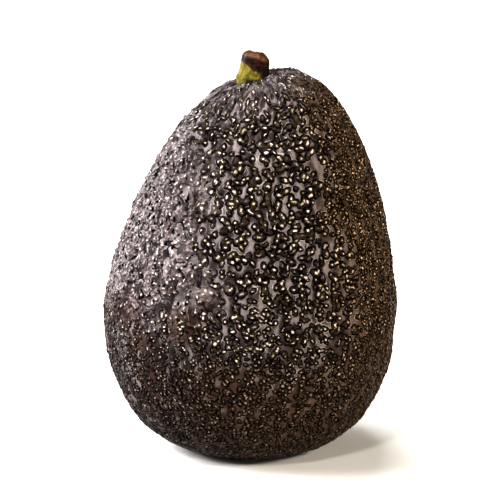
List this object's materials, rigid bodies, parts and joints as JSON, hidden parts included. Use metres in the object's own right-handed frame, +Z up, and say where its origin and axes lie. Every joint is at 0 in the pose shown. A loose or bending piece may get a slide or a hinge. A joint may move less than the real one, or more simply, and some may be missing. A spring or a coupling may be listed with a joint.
{
  "type": "avocado",
  "caption": "Whole ripe avocado with dark pebbled skin and a short stem stub, standing upright on the small flat spot of its blunt end.",
  "frame": {"origin": "middle of the small flat spot that the fruit stands on", "axes": "+Z up along the fruit towards the stem, +X towards the higher shoulder of the neck, -Y towards the side that the picture shows"},
  "size_m": [0.0751, 0.0727, 0.1009],
  "materials": {
    "skin": "dark purple-brown leathery skin, waxy and pebbled, glossy on the pebbles",
    "stem": "dry corky brown cut end over a yellow-green foot"
  },
  "bodies": {
    "root": {"fruit": "skin", "stem": "stem"}
  },
  "joints": []
}
